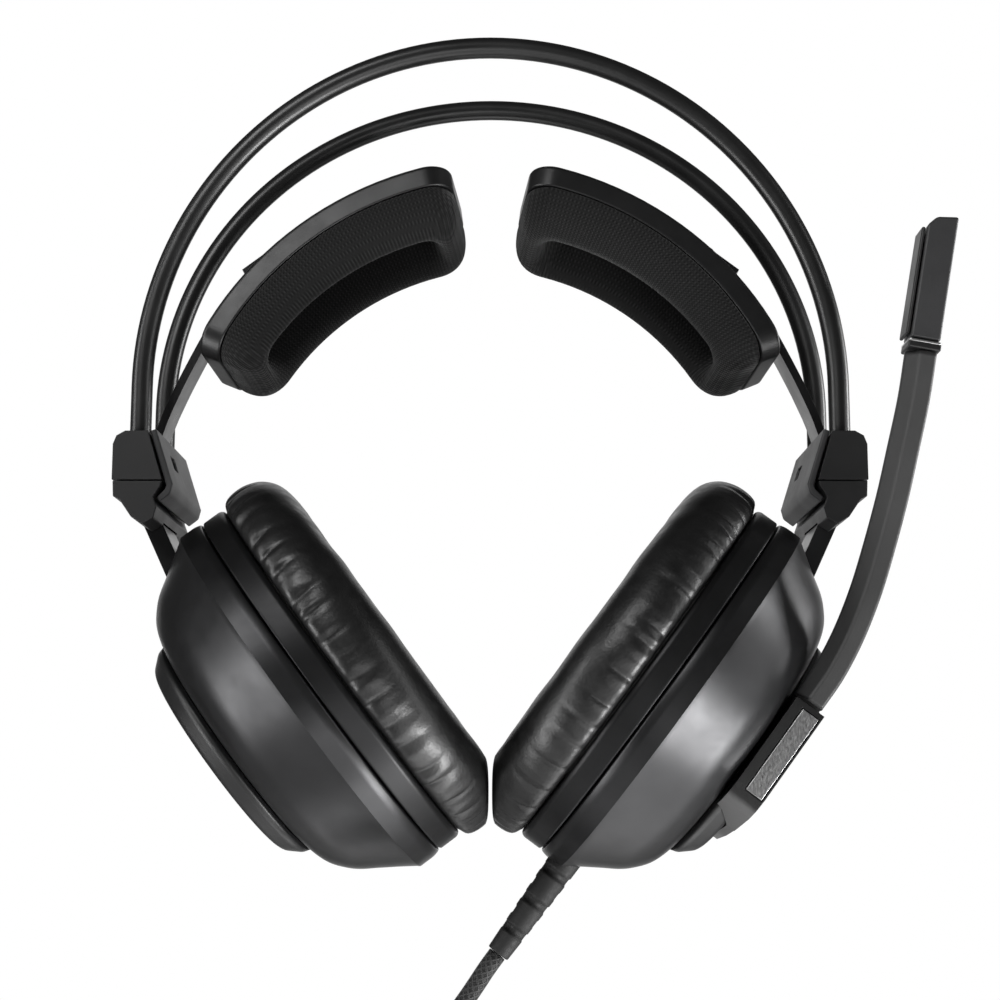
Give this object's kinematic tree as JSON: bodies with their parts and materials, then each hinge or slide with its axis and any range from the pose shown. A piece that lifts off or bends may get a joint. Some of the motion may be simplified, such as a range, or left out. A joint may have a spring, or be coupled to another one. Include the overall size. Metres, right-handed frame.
{
  "type": "over-ear gaming headset",
  "caption": "Over-ear headset with twin tubular hoops, sprung head wings, tilting round cups, a turning boom microphone and a braided USB cord.",
  "frame": {"origin": "centre of the arc of the two hoops, on the symmetry plane, midway between the hoops", "axes": "+Z towards the top of the hoops, +X towards the wearer's cup with the microphone boom, -Y the way the wearer looks"},
  "size_m": [0.204, 0.1032, 0.3478],
  "materials": {
    "black_steel": "satin black paint",
    "wire_black": "matte insulation",
    "matte_black_plastic": "matte",
    "satin_black_plastic": "satin",
    "grey_plastic": "fine matte grain",
    "bare_steel": "plain",
    "black_mesh_fabric": "open knit mesh",
    "black_leatherette": "semi-gloss leatherette",
    "film": "thin film",
    "board_green": "solder mask",
    "silver_trim": "fine brushed",
    "black_rubber": "matte",
    "black_braid": "braided sleeve"
  },
  "bodies": {
    "headband": {"front_hoop": "black_steel", "rear_hoop": "black_steel", "crossover_wire": "wire_black", "right_hub_housing": "matte_black_plastic", "right_hub_base": "matte_black_plastic", "right_hub_cover": "grey_plastic", "right_cup_arm": "black_steel", "right_wing_pin": "bare_steel", "left_hub_housing": "matte_black_plastic", "left_hub_base": "matte_black_plastic", "left_hub_cover": "grey_plastic", "left_cup_arm": "black_steel", "left_wing_pin": "bare_steel"},
    "right_wing_link": {"right_wing_arm": "black_steel", "right_wing_pivot": "bare_steel"},
    "right_wing": {"right_wing_tray": "satin_black_plastic", "right_wing_pad": "black_mesh_fabric"},
    "left_wing_link": {"left_wing_arm": "black_steel", "left_wing_pivot": "bare_steel"},
    "left_wing": {"left_wing_tray": "satin_black_plastic", "left_wing_pad": "black_mesh_fabric"},
    "right_cup": {"right_ear_shell": "satin_black_plastic", "right_outer_ring": "satin_black_plastic", "right_baffle": "matte_black_plastic", "right_driver_frame": "grey_plastic", "right_driver_magnet": "bare_steel", "right_diaphragm": "film", "right_ear_cloth": "black_mesh_fabric", "right_ear_cushion": "black_leatherette", "right_tilt_pin": "bare_steel", "circuit_board": "board_green", "boom_retainer": "bare_steel", "cord_relief": "black_rubber", "cord_lead": "black_braid", "cord_coil": "black_braid", "cord_tie": "black_rubber", "cord_tail": "black_braid", "usb_plug_body": "matte_black_plastic", "usb_plug_shell": "bare_steel"},
    "left_cup": {"left_ear_shell": "satin_black_plastic", "left_outer_ring": "satin_black_plastic", "left_baffle": "matte_black_plastic", "left_driver_frame": "grey_plastic", "left_driver_magnet": "bare_steel", "left_diaphragm": "film", "left_ear_cloth": "black_mesh_fabric", "left_ear_cushion": "black_leatherette", "left_tilt_pin": "bare_steel", "left_ring_cap": "satin_black_plastic"},
    "boom": {"boom_base": "matte_black_plastic", "boom_plate": "silver_trim", "boom": "grey_plastic", "mic_collar": "silver_trim", "mic_housing": "grey_plastic", "mic_element": "bare_steel", "mic_cover": "matte_black_plastic"}
  },
  "joints": [
    {"name": "right_wing_swing", "type": "hinge", "parent": "headband", "child": "right_wing_link", "pos_m": [0.0834, 0, -0.0204], "axis": [0, 1, 0], "range_deg": [0, 12], "stiffness_Nm_per_rad": 0.25, "springref_deg": -11.46},
    {"name": "right_wing_tilt", "type": "hinge", "parent": "right_wing_link", "child": "right_wing", "pos_m": [0.05536, 0, 0.03745], "axis": [-0.796, 0, 0.6053], "range_deg": [-10, 10]},
    {"name": "left_wing_swing", "type": "hinge", "parent": "headband", "child": "left_wing_link", "pos_m": [-0.0834, 0, -0.0204], "axis": [0, -1, 0], "range_deg": [0, 12], "stiffness_Nm_per_rad": 0.25, "springref_deg": -11.46},
    {"name": "left_wing_tilt", "type": "hinge", "parent": "left_wing_link", "child": "left_wing", "pos_m": [-0.05536, 0, 0.03745], "axis": [0.796, 0, 0.6053], "range_deg": [-10, 10]},
    {"name": "right_cup_tilt", "type": "hinge", "parent": "headband", "child": "right_cup", "pos_m": [0.0761, 0, -0.0493], "axis": [0, -1, 0], "range_deg": [0, 20]},
    {"name": "left_cup_tilt", "type": "hinge", "parent": "headband", "child": "left_cup", "pos_m": [-0.0761, 0, -0.0493], "axis": [0, 1, 0], "range_deg": [0, 20]},
    {"name": "boom_turn", "type": "hinge", "parent": "right_cup", "child": "boom", "pos_m": [0.042, 0, -0.0726], "axis": [0.8028, 0, -0.5962], "range_deg": [0, 120]}
  ]
}
